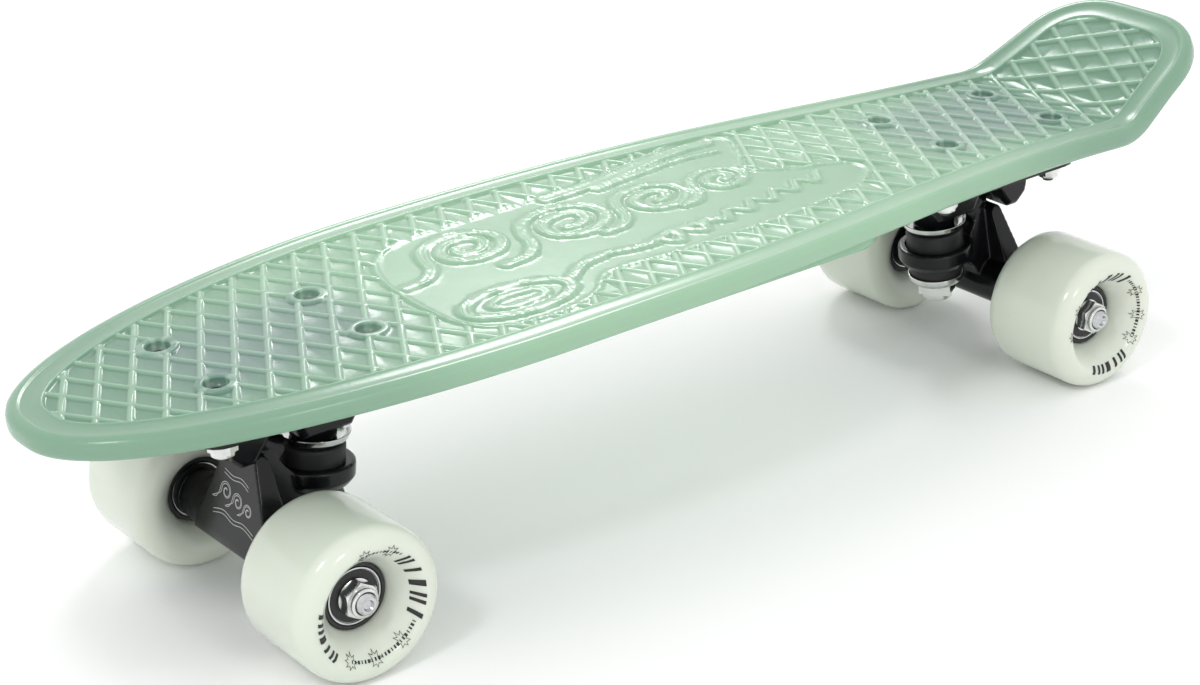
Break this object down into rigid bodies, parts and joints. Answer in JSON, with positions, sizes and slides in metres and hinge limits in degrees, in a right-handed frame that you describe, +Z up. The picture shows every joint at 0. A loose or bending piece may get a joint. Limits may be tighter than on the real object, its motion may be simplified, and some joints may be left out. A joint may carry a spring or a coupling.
{
  "type": "skateboard",
  "caption": "Short moulded plastic cruiser skateboard with an upturned tail, two sprung steering trucks on bolted baseplates and soft free-rolling wheels on ball bearings.",
  "frame": {"origin": "on the floor, below the middle of the board's overall box", "axes": "+X towards the upturned tail, nose at -X, +Y towards the rider's right when facing the nose, +Z up"},
  "size_m": [0.5685, 0.1578, 0.1314],
  "materials": {
    "deck_plastic": "satin moulded, slightly milky mint plastic",
    "truck_paint": "semi-gloss black paint",
    "bushing_urethane": "matte black urethane",
    "wheel_urethane": "satin milky white urethane",
    "hub_plastic": "matte black moulded plastic",
    "zinc_steel": "bright zinc plate",
    "bearing_steel": "ground bearing steel with dark shield",
    "axle_steel": "bright turned steel"
  },
  "bodies": {
    "board": {"deck": "deck_plastic", "front_baseplate": "truck_paint", "front_pivot_cup": "bushing_urethane", "front_kingpin": "zinc_steel", "front_kingpin_nut": "zinc_steel", "front_top_washer": "zinc_steel", "front_top_bushing": "bushing_urethane", "front_bottom_bushing": "bushing_urethane", "front_bottom_washer": "zinc_steel", "front_mounting_bolt_inboard_left": "zinc_steel", "front_mounting_nut_inboard_left": "zinc_steel", "front_mounting_bolt_inboard_right": "zinc_steel", "front_mounting_nut_inboard_right": "zinc_steel", "front_mounting_bolt_outboard_left": "zinc_steel", "front_mounting_nut_outboard_left": "zinc_steel", "front_mounting_bolt_outboard_right": "zinc_steel", "front_mounting_nut_outboard_right": "zinc_steel", "rear_baseplate": "truck_paint", "rear_pivot_cup": "bushing_urethane", "rear_kingpin": "zinc_steel", "rear_kingpin_nut": "zinc_steel", "rear_top_washer": "zinc_steel", "rear_top_bushing": "bushing_urethane", "rear_bottom_bushing": "bushing_urethane", "rear_bottom_washer": "zinc_steel", "rear_mounting_bolt_inboard_left": "zinc_steel", "rear_mounting_nut_inboard_left": "zinc_steel", "rear_mounting_bolt_inboard_right": "zinc_steel", "rear_mounting_nut_inboard_right": "zinc_steel", "rear_mounting_bolt_outboard_left": "zinc_steel", "rear_mounting_nut_outboard_left": "zinc_steel", "rear_mounting_bolt_outboard_right": "zinc_steel", "rear_mounting_nut_outboard_right": "zinc_steel"},
    "front_hanger": {"front_hanger": "truck_paint", "front_axle": "axle_steel", "front_left_wheel_axle_nut": "zinc_steel", "front_right_wheel_axle_nut": "zinc_steel"},
    "rear_hanger": {"rear_hanger": "truck_paint", "rear_axle": "axle_steel", "rear_left_wheel_axle_nut": "zinc_steel", "rear_right_wheel_axle_nut": "zinc_steel"},
    "front_left_wheel": {"front_left_wheel_tyre": "wheel_urethane", "front_left_wheel_core": "hub_plastic", "front_left_wheel_outer_bearing": "bearing_steel", "front_left_wheel_inner_bearing": "bearing_steel"},
    "front_right_wheel": {"front_right_wheel_tyre": "wheel_urethane", "front_right_wheel_core": "hub_plastic", "front_right_wheel_outer_bearing": "bearing_steel", "front_right_wheel_inner_bearing": "bearing_steel"},
    "rear_left_wheel": {"rear_left_wheel_tyre": "wheel_urethane", "rear_left_wheel_core": "hub_plastic", "rear_left_wheel_outer_bearing": "bearing_steel", "rear_left_wheel_inner_bearing": "bearing_steel"},
    "rear_right_wheel": {"rear_right_wheel_tyre": "wheel_urethane", "rear_right_wheel_core": "hub_plastic", "rear_right_wheel_outer_bearing": "bearing_steel", "rear_right_wheel_inner_bearing": "bearing_steel"}
  },
  "joints": [
    {"name": "front_truck_steer", "type": "hinge", "parent": "board", "child": "front_hanger", "pos_m": [-0.1698, 0, 0.0468], "axis": [-0.7793, 0, 0.6267], "range_deg": [-12, 12], "stiffness_Nm_per_rad": 40, "deforming": ["front_top_bushing", "front_bottom_bushing"]},
    {"name": "rear_truck_steer", "type": "hinge", "parent": "board", "child": "rear_hanger", "pos_m": [0.1538, 0, 0.0468], "axis": [0.7793, 0, 0.6267], "range_deg": [-12, 12], "stiffness_Nm_per_rad": 40, "deforming": ["rear_top_bushing", "rear_bottom_bushing"]},
    {"name": "front_left_wheel_spin", "type": "hinge", "parent": "front_hanger", "child": "front_left_wheel", "pos_m": [-0.1958, -0.0564, 0.03], "axis": [0, 1, 0], "continuous": true},
    {"name": "front_right_wheel_spin", "type": "hinge", "parent": "front_hanger", "child": "front_right_wheel", "pos_m": [-0.1958, 0.0564, 0.03], "axis": [0, 1, 0], "continuous": true},
    {"name": "rear_left_wheel_spin", "type": "hinge", "parent": "rear_hanger", "child": "rear_left_wheel", "pos_m": [0.1798, -0.0564, 0.03], "axis": [0, 1, 0], "continuous": true},
    {"name": "rear_right_wheel_spin", "type": "hinge", "parent": "rear_hanger", "child": "rear_right_wheel", "pos_m": [0.1798, 0.0564, 0.03], "axis": [0, 1, 0], "continuous": true}
  ]
}
